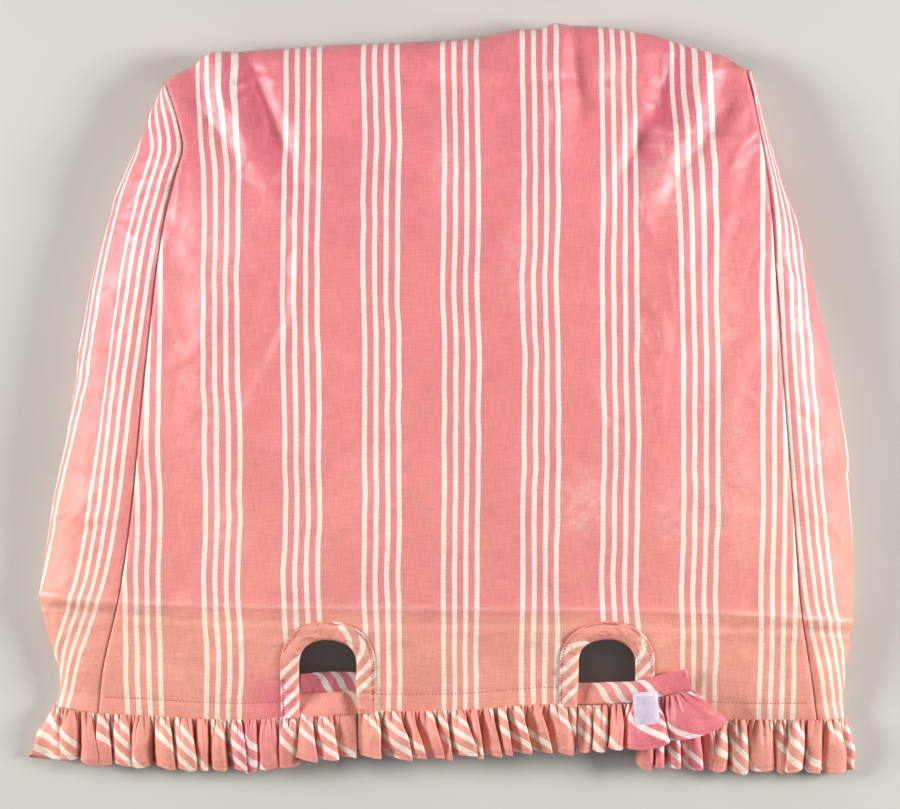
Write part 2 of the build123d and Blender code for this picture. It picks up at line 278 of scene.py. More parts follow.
# points, width, height and skew of each large fold
FRONT_FOLDS = (
    # long soft folds from the left shoulder
    ([(-176, 282), (-157, 228), (-133, 174), (-114, 142)], 12, 8.0, 0.25),
    ([(-152, 284), (-130, 222), (-108, 170), (-98, 134)], 12, -6.0, -0.2),
    ([(-192, 214), (-176, 176), (-164, 120), (-160, 70)], 12, 4.2, 0.2),
    ([(-103, 150), (-100, 100), (-104, 60), (-124, 22), (-140, -10)], 9, 3.0, 0.4),
    ([(-95, 128), (-92, 90), (-98, 48), (-116, 12)], 7, -1.6, 0),
    ([(-190, 225), (-186, 180), (-176, 120), (-172, 60), (-178, -20)], 10, 3.4, -0.3),
    ([(-178, 205), (-168, 150), (-160, 90)], 9, -2.2, 0),
    ([(-196, 120), (-170, 96), (-140, 88)], 6, 1.6, 0),
    ([(-205, 20), (-178, 34), (-152, 66)], 7, 1.8, 0.3),
    # peaks and dents along the top fold
    ([(92, 292), (89, 240), (90, 206), (84, 160)], 9, 4.4, 0.4),
    ([(104, 290), (103, 244), (110, 205)], 7, -3.4, 0),
    ([(30, 262), (60, 232), (86, 214)], 7, 1.8, 0),
    ([(-20, 262), (8, 244), (50, 240)], 6, 1.1, 0),
    ([(-60, 260), (-20, 236), (30, 232), (110, 238), (170, 232)], 5, -1.3, 0),
    # the crumpled right shoulder
    ([(214, 266), (194, 218), (168, 168), (158, 138)], 12, 7.6, -0.25),
    ([(186, 278), (164, 214), (142, 166), (136, 132)], 13, -6.0, 0.2),
    ([(216, 206), (196, 168), (184, 130), (180, 92)], 12, 4.6, 0.2),
    ([(222, 226), (206, 196), (186, 168)], 7, -2.8, 0),
    ([(232, 236), (226, 190), (216, 140), (206, 96)], 9, 3.0, -0.3),
    ([(150, 236), (160, 206), (190, 196), (212, 204)], 6, 2.2, 0),
    ([(140, 220), (152, 186), (176, 178)], 6, -1.8, 0),
    ([(236, 150), (212, 128), (186, 128)], 6, 1.8, 0),
    ([(154, 72), (166, 60), (168, 40), (160, 24)], 4.5, 1.8, 0.4),
    ([(146, 70), (157, 56), (158, 36)], 5, -1.2, 0),
    ([(244, 60), (220, 20), (206, -40)], 11, 2.2, 0),
    ([(110, -60), (128, -100), (150, -124)], 10, 1.5, 0),
    ([(-40, 20), (-10, -30), (-4, -100)], 14, 1.1, 0),
    ([(184, -60), (214, -84), (252, -92)], 7, 1.5, 0),
)


def front_wrinkles(x, y):
    """What time and folding have left in the front's face."""
    z = 2.0 * noise(x, y, 95, 3) + 0.9 * noise(x, y * 0.7, 48, 4)
    top = smooth(20, 220, y)
    z += (0.35 + 0.55 * top) * noise(x, y, 21, 5)
    # the pressed crease above the arches, and its fainter twin below
    d = y - crease_line(x)
    z += 0.9 * bell(d, 2.8) + 0.9 * np.exp(-np.abs(d) / 9.0)
    z -= 0.7 * bell(d + 12, 2.6)
    z += 0.45 * bell(d + 16, 3.0)
    for points, width, height, skew in FRONT_FOLDS:
        z += fold(x, y, points, width, height, skew)
    # the panel sags beside each arch, and pulls up at its head
    for centre in (LEFT_ARCH_X, RIGHT_ARCH_X):
        out = arch_distance(x, y, centre)
        z += 1.5 * bell(out - 14, 9) * smooth(-236, -200, y)
        z += fold(x, y, [(centre - 34, -188), (centre - 56, -180), (centre - 86, -184)], 4, 0.9)
        z += fold(x, y, [(centre + 34, -190), (centre + 52, -180), (centre + 74, -180)], 4, 0.8)
    # crumpling of the glazed face, most at the two shoulders
    mask = 0.35 + smooth(60, 200, y) * (smooth(60, 190, x) + smooth(-90, -190, x))
    z += mask * (0.85 * ridges(x, y, 34, 11) + 0.4 * ridges(x, y, 17, 12))
    # puckers at the hem's topstitch and where the frill is sewn on
    up = y - hem_line(x)
    z -= 0.5 * bell(up - TOPSTITCH, 2.2)
    z += 0.3 * noise(x, y * 0.25, 5.5, 13) * bell(up - 10, 9)
    z += 0.45 * noise(x, y * 0.2, 7.0, 14) * bell(up, 7)
    z -= 0.4 * bell(up, 1.2)
    # the side seams pull the edge down
    for seam in (left_seam, right_seam):
        d = np.abs(x - seam(y))
        z -= 0.9 * bell(d, 1.2)
        z += 0.55 * noise(x * 0.3, y, 9, 15) * bell(d, 9)
    return z


def front_surface(x, y):
    return front_height(x, y) + front_wrinkles(x, y) + creases(x, y, FRONT_CREASES)


# ---------------------------------------------------------------- meshes


def fade_at(x, y):
    """0 is pink that light has never reached, and 1 the peach of the hem."""
    down = smooth(230, -150, y)
    value = 0.24 + 0.40 * down + 0.04 * noise(x, y, 60, 21) + 0.03 * noise(x, y, 14, 22)
    value += 0.12 * smooth(150, 290, np.abs(x)) * smooth(160, -60, y)
    below = 0.45 * smooth(3, -6, y - crease_line(x)) + 0.55 * smooth(6, -26, y - crease_line(x))
    value += below * (0.24 + 0.08 * noise(x, y, 26, 23))
    # real unfaded pink beside the left arch
    unfaded_and_shade = bell(x + 121, 17) * smooth(-200, -222, y) * smooth(-96, -108, x)
    # painted shade: deeper pink along two shoulder folds stands for the shadow that their ridges cast
    unfaded_and_shade += 0.42 * fold(x, y, [(-158, 270), (-136, 218), (-114, 170), (-104, 140)], 13, 1.0)
    unfaded_and_shade += 0.36 * fold(x, y, [(188, 270), (168, 214), (148, 168), (140, 140)], 13, 1.0)
    return np.clip(value - 0.66 * unfaded_and_shade, 0, 1)


# painted sheen, pale patches that stand for the glaze's broad highlights: x, y, half width, half height, how much
PAINTED_SHEEN_PATCHES = (
    (109, -80, 16, 26, 0.55), (178, -90, 18, 30, 0.35), (-165, 105, 22, 46, 0.42), (172, 155, 17, 28, 0.55),
    (130, 235, 12, 16, 0.45), (-155, -95, 15, 34, 0.35), (5, 175, 8, 24, 0.35), (60, 100, 12, 36, 0.30),
    (-172, 0, 14, 40, 0.35), (214, 60, 14, 44, 0.35), (-60, -40, 20, 40, 0.15), (226, -60, 14, 50, 0.30),
)


# real soil, painted shade under the crease and in a corner, and pale wear with painted sheen, as one value: above 0
# darkens, below 0 pales
def soil_shade_and_sheen_at(x, y):
    d = y - crease_line(x)
    # painted shade: dark lines just under the pressed crease, stronger toward the sides
    shade = 0.5 * bell(d + 6, 2.2) + 0.3 * bell(d + 15, 2.4)
    side = 0.15 + 0.85 * smooth(140, 300, np.abs(x))
    # real wear: a paler line along the crease
    wear_and_sheen = 0.75 * bell(d - 0.5, 1.5) + 0.4 * bell(d + 11, 1.8)
    wear_and_sheen = wear_and_sheen * (0.55 + 0.45 * noise(x, y, 22, 25)) * (0.45 + 0.55 * smooth(60, 260, np.abs(x)))
    # painted sheen: pale patches stand for the glaze's broad highlights
    for px, py, wide, tall, much in PAINTED_SHEEN_PATCHES:
        wear_and_sheen = wear_and_sheen + much * bell(x - px, wide) * bell(y - py, tall) * (
            0.55 + 0.35 * noise(x, y, 7, 27) + 0.4 * noise(x, y, 2.6, 28)
        )
    # painted shade in the right shoulder's corner, where the seam meets the top fold
    corner = 0.8 * bell(x - 226, 9) * bell(y - 250, 5)
    return np.clip(shade * side + corner + 0.12 * noise(x, y, 33, 24), 0, 1) - wear_and_sheen


def link_mesh(name, mesh, material):
    """A smooth-shaded object for a finished mesh."""
    mesh.polygons.foreach_set("use_smooth", [True] * len(mesh.polygons))
    mesh.materials.append(material)
    obj = bpy.data.objects.new(name, mesh)
    bpy.context.scene.collection.objects.link(obj)
    return obj


def add_cloth(node, points, cut, fade, soil_shade_and_sheen=None, drop=None, bias=None, wrap=0.0, thick=CLOTH):
    """A cloth mesh from rows of points, with its flat cut in mm as its UV map.

    Bias-cut pieces have the cut turned so that the stripes run across them. A tube is joined round its last
    row, where the cut goes on for `wrap` mm. `drop` says which faces to leave out.
    """
    rows, cols = points.shape[:2]
    index = np.arange(rows * cols).reshape(rows, cols)
    if wrap:
        index = np.vstack([index, index[:1]])
    a, b = index[:-1, :-1], index[:-1, 1:]
    c, d = index[1:, 1:], index[1:, :-1]
    quads = np.stack([a, b, c, d], -1).reshape(-1, 4)
    row_of = np.broadcast_to(np.arange(a.shape[0])[:, None], a.shape).ravel()
    col_of = np.broadcast_to(np.arange(a.shape[1])[None, :], a.shape).ravel()
    if drop is not None:
        keep = ~drop(points.reshape(-1, 3)[quads].mean(1))
        quads, row_of, col_of = quads[keep], row_of[keep], col_of[keep]
    used, quads = np.unique(quads, return_inverse=True)
    quads = quads.reshape(-1, 4)
    name = node + "_cloth"
    mesh = bpy.data.meshes.new(name)
    mesh.from_pydata((points.reshape(-1, 3)[used] * MM).tolist(), [], quads.tolist())
    flat = np.concatenate([cut, cut[:1] + [[[0.0, wrap]]]]) if wrap else cut
    if bias is not None:
        s, k = math.sin(bias), math.cos(bias)
        flat = np.stack([flat[..., 0] * k + flat[..., 1] * s, flat[..., 1] * k - flat[..., 0] * s], -1)
    corners = np.stack(
        [flat[row_of, col_of], flat[row_of, col_of + 1], flat[row_of + 1, col_of + 1], flat[row_of + 1, col_of]], 1
    )
    uv = mesh.uv_layers.new(name="cut")
    uv.data.foreach_set("uv", (corners.reshape(-1, 2) * MM).ravel().astype(np.float32))
    for label, values in (("fade", fade), ("soil_shade_and_sheen", soil_shade_and_sheen)):
        layer = mesh.attributes.new(label, "FLOAT", "POINT")
        full = np.zeros((rows, cols)) if values is None else np.broadcast_to(values, (rows, cols))
        layer.data.foreach_set("value", full.ravel()[used].astype(np.float32))
    obj = link_mesh(name, mesh, chintz)
    if thick:
        solid = obj.modifiers.new("thickness", "SOLIDIFY")
        solid.thickness = thick * MM
        solid.offset = 0
        solid.use_even_offset = False
    return obj


def declare(obj, node, body):
    """Attach a sheet of cloth to the body that it rides on, and hide the node that it replaces."""
    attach(obj, body)
    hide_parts(node)


# ---------------------------------------------------------------- materials


class Nodes:
    """Short names for making one material's nodes."""

    def __init__(self, name):
        self.material = bpy.data.materials.new(name)
        self.material.use_nodes = True
        self.tree = self.material.node_tree
        self.shader = self.tree.nodes["Principled BSDF"]

    def make(self, kind, inputs=(), **settings):
        node = self.tree.nodes.new(kind)
        for key, value in settings.items():
            setattr(node, key, value)
        for key, value in dict(inputs).items():
            self.put(value, node.inputs[key])
        return node

    def put(self, value, socket):
        if isinstance(value, bpy.types.NodeSocket):
            self.tree.links.new(value, socket)
        else:
            socket.default_value = value

    def math(self, operation, a, b=0.0, clamp=False):
        return self.make("ShaderNodeMath", {0: a, 1: b}, operation=operation, use_clamp=clamp).outputs[0]

    def plus(self, a, b):
        return self.math("ADD", a, b)

    def minus(self, a, b):
        return self.math("SUBTRACT", a, b)

    def times(self, a, b):
        return self.math("MULTIPLY", a, b)

    def ramp(self, value, low, high, to_low=0.0, to_high=1.0):
        node = self.make("ShaderNodeMapRange", {0: value, 1: low, 2: high, 3: to_low, 4: to_high})
        node.interpolation_type = "SMOOTHSTEP"
        return node.outputs[0]

    def mix(self, share, a, b, blend="MIX"):
        node = self.make("ShaderNodeMix", data_type="RGBA", blend_type=blend)
        self.put(share, node.inputs[0])
        self.put(a, node.inputs[6])
        self.put(b, node.inputs[7])
        return node.outputs[2]

    def noise(self, where, scale, detail=2.0, stretch=None):
        if stretch:
            where = self.make("ShaderNodeMapping", {0: where, 3: stretch}).outputs[0]
        return self.make("ShaderNodeTexNoise", {"Vector": where, "Scale": scale, "Detail": detail}).outputs[0]


def linear(r, g, b):
    """A colour picked on screen, as the light it stands for."""
    return tuple((c / 255 / 12.92) if c <= 10 else ((c / 255 + 0.055) / 1.055) ** 2.4 for c in (r, g, b)) + (1.0,)


def glazed_cotton():
    n = Nodes("glazed_cotton")
    uv = n.make("ShaderNodeUVMap", uv_map="cut").outputs[0]
    fade = n.make("ShaderNodeAttribute", attribute_name="fade").outputs["Fac"]
    soil_shade_and_sheen = n.make("ShaderNodeAttribute", attribute_name="soil_shade_and_sheen").outputs["Fac"]
    place = n.make("ShaderNodeTexCoord").outputs["Object"]
    split = n.make("ShaderNodeSeparateXYZ", {0: uv}).outputs
    along, down = split[0], split[1]
    # printed stripes, whose edges step from thread to thread
    wobble = n.times(n.minus(n.noise(uv, 900.0), 0.5), 0.0006)
    to_first = STRIPE_WIDTH / 2 - FIRST_STRIPE + 100 * STRIPE_REPEAT  # the added repeats keep it above 0
    shifted = n.plus(n.plus(along, wobble), to_first * MM)
    in_repeat = n.math("MODULO", shifted, STRIPE_REPEAT * MM)
    in_pitch = n.math("MODULO", in_repeat, STRIPE_PITCH * MM)
    from_middle = n.math("ABSOLUTE", n.minus(in_pitch, STRIPE_WIDTH / 2 * MM))
    stripe = n.ramp(from_middle, (STRIPE_WIDTH / 2 + 0.15) * MM, (STRIPE_WIDTH / 2 - 0.2) * MM)
    group = n.math("LESS_THAN", in_repeat, (3 * STRIPE_PITCH + STRIPE_WIDTH + 1) * MM)
    stripe = n.times(stripe, group)
    # pink that fades to peach
    pink = n.mix(n.ramp(fade, 0.0, 0.3), linear(221, 110, 124), linear(233, 130, 135))
    pink = n.mix(n.ramp(fade, 0.22, 0.62), pink, linear(234, 140, 136))
    pink = n.mix(n.ramp(fade, 0.55, 0.95), pink, linear(234, 156, 136))
    cream = n.mix(n.ramp(fade, 0.4, 1.0), linear(244, 230, 222), linear(242, 226, 208))
    colour = n.mix(stripe, pink, cream)
    # threads of uneven thickness, both ways
    warp_threads = n.noise(uv, 1.0, 2.0, (1900.0, 70.0, 1.0))
    weft_threads = n.noise(uv, 1.0, 2.0, (70.0, 1900.0, 1.0))
    threads = n.plus(warp_threads, weft_threads)
    tint = n.mix(n.ramp(threads, 0.72, 1.28), (0.80, 0.77, 0.77, 1), (1.14, 1.12, 1.12, 1))
    colour = n.mix(0.60, colour, tint, "MULTIPLY")
    cloud = n.noise(place, 26.0, 4.0)
    tint = n.mix(n.ramp(cloud, 0.3, 0.7), (0.92, 0.90, 0.90, 1), (1.05, 1.05, 1.04, 1))
    colour = n.mix(0.75, colour, tint, "MULTIPLY")
    # painted shade: the attribute's positive part darkens creases, a corner and the frills' fold valleys, with a little
    # real soil
    dirt_and_shade = n.times(n.math("MAXIMUM", soil_shade_and_sheen, 0.0), n.ramp(n.noise(place, 190.0, 3.0), 0.3, 0.7, 0.5, 1.0))
    colour = n.mix(n.times(dirt_and_shade, 0.72), colour, linear(124, 62, 52))
    # painted sheen: its negative part pales the glaze's highlight patches, with real wear along the crease
    pale_wear_and_sheen = n.math("MULTIPLY", soil_shade_and_sheen, -0.75, clamp=True)
    colour = n.mix(pale_wear_and_sheen, colour, linear(250, 222, 208))
    fleck = n.ramp(n.noise(place, 420.0, 1.0), 0.775, 0.80)
    colour = n.mix(n.times(fleck, 0.35), colour, linear(140, 92, 72))
    n.put(colour, n.shader.inputs["Base Color"])
    # the glaze is worn off in patches, and most of it is gone near the hem
    wear_and_sheen = n.noise(place, 13.0, 3.0)
    rubbed = n.noise(place, 75.0, 3.0)
    wear = n.plus(n.times(wear_and_sheen, 0.62), n.times(rubbed, 0.38))
    gloss = n.ramp(wear, 0.36, 0.62)
    gloss = n.times(gloss, n.ramp(fade, 0.95, 0.3, 0.35, 1.0))
    rough = n.minus(0.60, n.times(gloss, 0.20))
    rough = n.plus(rough, n.times(n.minus(threads, 1.0), 0.18))
    n.put(rough, n.shader.inputs["Roughness"])
    n.put(n.times(gloss, 0.5), n.shader.inputs["Coat Weight"])
    n.shader.inputs["Coat Roughness"].default_value = 0.40
    n.shader.inputs["Specular IOR Level"].default_value = 0.5
    n.shader.inputs["Sheen Weight"].default_value = 0.06
    n.shader.inputs["Sheen Roughness"].default_value = 0.4
    # plain weave, crossed threads and the fine cracks of the glaze
    weave_u = n.math("SINE", n.times(along, 2 * math.pi / 0.00050))
    weave_v = n.math("SINE", n.times(down, 2 * math.pi / 0.00050))
    weave = n.times(n.times(weave_u, weave_v), 0.00002)
    slubs = n.times(threads, 0.00016)
    cracks = n.make(
        "ShaderNodeTexVoronoi", {"Vector": place, "Scale": 62.0}, feature="DISTANCE_TO_EDGE"
    ).outputs["Distance"]
    crackle = n.ramp(cracks, 0.0, 0.16, 0.00006, 0.0)
    soft = n.times(n.noise(place, 70.0, 5.0), 0.0016)
    height = n.plus(n.plus(weave, slubs), n.plus(crackle, soft))
    bump = n.make("ShaderNodeBump", {"Height": height, "Strength": 0.8, "Distance": 1.0})
    n.put(bump.outputs[0], n.shader.inputs["Normal"])
    return n.material


def sewing_thread():
    n = Nodes("sewing_thread")
    place = n.make("ShaderNodeTexCoord").outputs["Object"]
    tone = n.ramp(n.noise(place, 700.0), 0.3, 0.7)
    n.put(n.mix(tone, linear(150, 62, 70), linear(186, 92, 92)), n.shader.inputs["Base Color"])
    n.shader.inputs["Roughness"].default_value = 0.6
    twist = n.times(n.noise(place, 3000.0), 0.00006)
    bump = n.make("ShaderNodeBump", {"Height": twist, "Strength": 0.6, "Distance": 1.0})
    n.put(bump.outputs[0], n.shader.inputs["Normal"])
    return n.material


def tape(name, light, dark):
    """Woven nylon, which the hooks or loops stand on."""
    n = Nodes(name)
    place = n.make("ShaderNodeTexCoord").outputs["Object"]
    fuzz = n.noise(place, 1500.0, 3.0)
    cloud = n.noise(place, 120.0, 2.0)
    tone = n.plus(n.times(fuzz, 0.5), n.times(cloud, 0.5))
    n.put(n.mix(n.ramp(tone, 0.35, 0.65), dark, light), n.shader.inputs["Base Color"])
    n.put(n.ramp(fuzz, 0.3, 0.7, 0.55, 0.85), n.shader.inputs["Roughness"])
    n.shader.inputs["Sheen Weight"].default_value = 0.35
    n.shader.inputs["Sheen Roughness"].default_value = 0.5
    rows = n.make("ShaderNodeTexWave", {"Vector": place, "Scale": 420.0, "Distortion": 2.0, "Detail": 1.0}).outputs[0]
    height = n.plus(n.times(fuzz, 0.00025), n.times(rows, 0.00006))
    bump = n.make("ShaderNodeBump", {"Height": height, "Strength": 0.9, "Distance": 1.0})
    n.put(bump.outputs[0], n.shader.inputs["Normal"])
    return n.material


chintz = glazed_cotton()
thread = sewing_thread()
hook_tape = tape("hook_tape", linear(232, 222, 236), linear(206, 194, 216))


# ---------------------------------------------------------------- panels

across, upward = np.meshgrid(np.linspace(0, 1, 290), np.linspace(0, 1, 276))
low_left, high_left = float(hem_line(-254)), 234.0
low_right, high_right = float(hem_line(286)), 242.0
edge_left_y = low_left + (high_left - low_left) * upward
edge_right_y = low_right + (high_right - low_right) * upward
for _ in range(6):
    fx = left_seam(edge_left_y) * (1 - across) + right_seam(edge_right_y) * across
    fy = hem_line(fx) * (1 - upward) + top_line(fx) * upward
    edge_left_y, edge_right_y = fy[:, :1] + 0 * fy, fy[:, -1:] + 0 * fy
fz = front_surface(fx, fy)
end_left, end_right = float(fy[-1, 0]), float(fy[-1, -1])  # where the side seams meet the top fold
warped = fx + 6.8 * bell(fx - 183, 30) * smooth(60, 240, fy)
warped += 1.5 * noise(fx * 0.6, fy, 55, 26) + 0.5 * noise(fx, fy, 20, 27)
warped += 9.5 * bell(fx + 168, 25) * smooth(140, 255, fy)
front_cut = np.stack([warped, fy], -1)


def in_arches(centres):
    inside = np.zeros(len(centres), bool)
    for centre in (LEFT_ARCH_X, RIGHT_ARCH_X):
        inside |= arch_distance(centres[:, 0], centres[:, 1], centre) < 4.0
    return inside


front = add_cloth(
    "front_panel", np.stack([fx, fy, fz], -1), front_cut, fade_at(fx, fy), soil_shade_and_sheen_at(fx, fy), drop=in_arches
)
declare(front, "front_panel", "cover")


def round_path(points, count):
    """Evenly spaced places along a smooth line through points."""
    p = np.array(points, float)
    chord = distances(*p.T)
    fine = np.linspace(0, chord[-1], 400)
    line = np.stack([curve(*zip(chord, p[:, 0]))(fine), curve(*zip(chord, p[:, 1]))(fine)], -1)
    length = distances(*line.T)
    at = np.linspace(0, length[-1], count)
    return np.stack([np.interp(at, length, line[:, 0]), np.interp(at, length, line[:, 1])], -1), at


def gusset_path(y, side, count):
    """The gusset's section at y, from its seam round to the ground and in underneath."""
    seam_x = float(left_seam(y) if side < 0 else right_seam(y))
    edge_x = float(left_edge(y) if side < 0 else right_edge(y))
    height = float(front_surface(np.array([seam_x]), np.array([y]))[0]) - 0.5
    reach, start = abs(edge_x - seam_x), abs(seam_x) + 0.5
    outer = start + reach
    points = [
        (start - 0.9, height - 0.9),
        (start + 1.0, height - 0.1),
        (start + 0.18 * reach, height),
        (start + 0.5 * reach, height * 0.88),
        (start + 0.84 * reach, height * 0.62),
        (outer, height * 0.33),
        (outer - 1.5, height * 0.12 + 0.4),
        (outer - 8, 0.5),
        (outer - float(under_reach(y)), 0.5),
    ]
    path, at = round_path(points, count)
    return side * path[:, 0], path[:, 1], at


GUSSET_COLUMNS = 78
GUSSET_EASE = 1.16  # slack taken up by the gussets' wrinkles


def gusset(side, node, offset):
    rows = 200
    ys = np.linspace(low_left if side < 0 else low_right, end_left if side < 0 else end_right, rows)
    x, z, arc = (np.zeros((rows, GUSSET_COLUMNS)) for _ in range(3))
    for i, y in enumerate(ys):
        x[i], z[i], arc[i] = gusset_path(y, side, GUSSET_COLUMNS)
    y = np.broadcast_to(ys[:, None], x.shape).copy()
    y += (hem_line(x) - hem_line(x[:, :1])) * smooth(-150, -240, y)
    # the top end turns down with the back's fold
    sink = np.clip(1 - z / z[:, :1], 0, 1)
    y -= 0.9 * np.minimum(TOP_ROLL, z[:, :1]) * (1 - np.sqrt(1 - sink**2)) * smooth(190, 236, y)
    around = arc / arc.max()
    free = smooth(0.0, 0.05, around) * smooth(0.2, 1.6, z / 10)
    lift = 1.8 * noise(arc * 1.3, y, 60, 31 + side) + 1.0 * noise(arc, y, 24, 33 + side)
    lift += 0.8 * ridges(arc * 1.2, y * 0.8, 30, 35 + side)
    places = [(12, 8, 60, 60, 200, 0, 1.3), (12, 10, 80, -80, 60, 8, 0.9), (14, 10, 90, -225, -80, 16, 1.0)]
    lift += creases(arc, y, scattered_creases(38 + side, places))
    d = y - crease_line(x)
    lift += 1.5 * bell(d, 3.0) + 1.1 * np.exp(-np.abs(d) / 9) - 0.7 * bell(d + 12, 2.6)
    lift += 3.0 * np.sin(arc * 0.16 + y * 0.02) * smooth(120, 225, y) * smooth(-1, 0.6, noise(arc, y, 30, 36))
    lift -= 0.5 * bell(y - hem_line(x) - TOPSTITCH, 2.2)
    lift *= smooth(1, 0, (y - 205) / 30)
    gx, gz = np.gradient(x, axis=1), np.gradient(z, axis=1)
    size = np.hypot(gx, gz) + 1e-9
    nx, nz = -gz / size * side, gx / size * side
    x = x + nx * lift * free * 0.9
    z = np.maximum(z + nz * lift * free * 0.9, 0.35)
    tuck = 14 * smooth(26, 42, arc) * smooth(-70, 30, y) * (side < 0)
    cut = np.stack([FIRST_STRIPE + arc * GUSSET_EASE + tuck - offset(y), y], -1)
    fade = np.clip(fade_at(x, y) + 0.10 * smooth(4, 30, z) * smooth(20, 60, arc), 0, 1)
    fade = np.where(z < 3, np.minimum(fade, 0.25), fade)
    order = slice(None, None, side)
    points = np.stack([x, y, z], -1)[:, order]
    piece = add_cloth(node, points, cut[:, order], fade[:, order], soil_shade_and_sheen_at(x, y)[:, order])
    declare(piece, node, "cover")
    return piece


gusset(-1, "left_gusset", curve((-244, 31), (-192, 24), (-147, 18), (0, 11), (133, 6), (240, 3)))
gusset(1, "right_gusset", curve((-244, 11), (-190, 9), (-140, 6), (240, 8)))

# the back turns down behind the top fold and lies on the ground
across, downward = np.meshgrid(np.linspace(0, 1, 150), np.linspace(0, 1, 150))
top_x = left_seam(end_left) * (1 - across) + right_seam(end_right) * across
top_y = top_line(top_x)
top_z = front_surface(top_x, top_y)
roll = np.clip(top_z - 0.8, 1, TOP_ROLL)
back_length = top_y - BACK_HEM
turn_share = 0.09
turn = np.clip(downward / turn_share, 0, 1)
flat_part = np.clip((downward - turn_share) / (1 - turn_share), 0, 1)
back_y = top_y - roll * (1 - np.cos(turn * np.pi / 2)) * 0.9 - (back_length - roll * 0.9) * flat_part
back_z = top_z * (1 - np.sin(turn * np.pi / 2)) + 0.8 * np.sin(turn * np.pi / 2)
shrink = smooth(0, 1, flat_part * 6)
back_left = left_edge(back_y) + under_reach(back_y) - 6
back_right = right_edge(back_y) - under_reach(back_y) + 6
flat_x = back_left * (1 - across) + back_right * across
back_x = top_x * (1 - shrink) + flat_x * shrink
back_z = back_z + 0.5 * (1 + noise(back_x, back_y, 60, 41)) * shrink + 0.5
back_z += 0.8 * bell(flat_part - 1, 0.02)
back_cut = np.stack([back_x, back_y - 2 * roll * (1 - turn)], -1)
back_fade = 0.22 + 0.05 * noise(back_x, back_y, 50, 42)
back = add_cloth("back_panel", np.stack([back_x, back_y, back_z], -1), back_cut, back_fade)
declare(back, "back_panel", "cover")


# ---------------------------------------------------------------- bindings, facings


def arch_path(centre_x, count):
    """Places and outward directions along the edge of an arch, from left foot to right foot."""
    turn = np.linspace(math.pi, 0, 240)
    c, k = np.cos(turn), np.sin(turn)
    size = ARCH_HALF / (np.abs(c) ** ARCH_SQUARE + np.abs(k) ** ARCH_SQUARE) ** (1 / ARCH_SQUARE)
    x = centre_x + size * c
    y = ARCH_SPRING + size * k * (ARCH_TOP - ARCH_SPRING) / ARCH_HALF
    left_foot, right_foot = float(hem_line(centre_x - ARCH_HALF)), float(hem_line(centre_x + ARCH_HALF))
    x = np.concatenate([np.full(60, x[0]), x[1:-1], np.full(60, x[-1])])
    y = np.concatenate([np.linspace(left_foot, ARCH_SPRING, 60), y[1:-1], np.linspace(ARCH_SPRING, right_foot, 60)])
    length = distances(x, y)
    at = np.linspace(0, length[-1], count)
    x, y = np.interp(at, length, x), np.interp(at, length, y)
    dx, dy = np.gradient(x, at), np.gradient(y, at)
    size = np.hypot(dx, dy)
    return x, y, -dy / size, dx / size, at


def binding(node, centre_x, seed, phase):
    """A bias strip folded over the arch's edge and stitched down on the face."""
    x, y, ox, oy, at = arch_path(centre_x, 190)
    profile, reach = round_path(
        [
            (10.5, -2.6), (5, -3.2), (0.6, -3.0), (-0.9, -0.8), (-0.1, 1.8), (3.4, 3.0), (7.6, 2.4), (11.0, 1.2),
            (12.9, 0.95),
        ],
        34,
    )
    outward, rise = (profile[:, k][:, None] * np.ones(len(at)) for k in range(2))
    strip_s, strip_w = np.meshgrid(at, reach)
    face = smooth(14, 19, strip_w)
    swell = smooth(9.0, 11.5, strip_w) * smooth(22, 14, strip_w)
    outward = outward + 0.9 * noise(strip_s, 0, 13, seed) * swell
    px, py = x + ox * outward, y + oy * outward
    rise = rise + face * 0.8 * noise(strip_s, strip_w, 6, seed + 1)
    rise += face * 0.6 * noise(strip_s, strip_w * 0.35, 3.6, seed + 2)
    rise += 1.1 * face * ridges(strip_s, strip_w * 1.2, 8, seed + 3)
    base = front_surface(px, np.maximum(py, hem_line(px) + 1.0))
    cut = np.stack([strip_s + phase, strip_w], -1)
    points = np.stack([px, py, base + rise], -1)
    fade = fade_at(px, py) + 0.05 * noise(strip_s, strip_w, 12, seed + 4)
    piece = add_cloth(node, points[::-1], cut[::-1], np.clip(fade, 0, 1)[::-1], None, bias=BIAS)
    declare(piece, node, "cover")


binding("left_arch_binding", LEFT_ARCH_X, 51, 66.4)
binding("right_arch_binding", RIGHT_ARCH_X, 61, 62.0)


def facing(node, x_low, x_high, seed):
    """The strip behind the hem that its topstitch holds."""
    s, t = np.meshgrid(np.linspace(0, 1, 90), np.linspace(0, 1, 12))
    x = x_low + (x_high - x_low) * s
    y = hem_line(x) + 0.5 + (TOPSTITCH + 0.5) * t
    z = front_surface(x, y) - 1.1 + 0.15 * noise(x, y, 7, seed)
    cut = np.stack([x, y - hem_line(x)], -1)
    piece = add_cloth(node, np.stack([x, y, z], -1), cut, 0.15, None, bias=BIAS)
    declare(piece, node, "cover")


facing("left_hem_facing", -250, LEFT_ARCH_X - ARCH_REACH, 71)
facing("middle_hem_facing", LEFT_ARCH_X + ARCH_REACH, RIGHT_ARCH_X - ARCH_REACH, 72)
facing("right_hem_facing", RIGHT_ARCH_X + ARCH_REACH, 282, 73)


# ---------------------------------------------------------------- frills


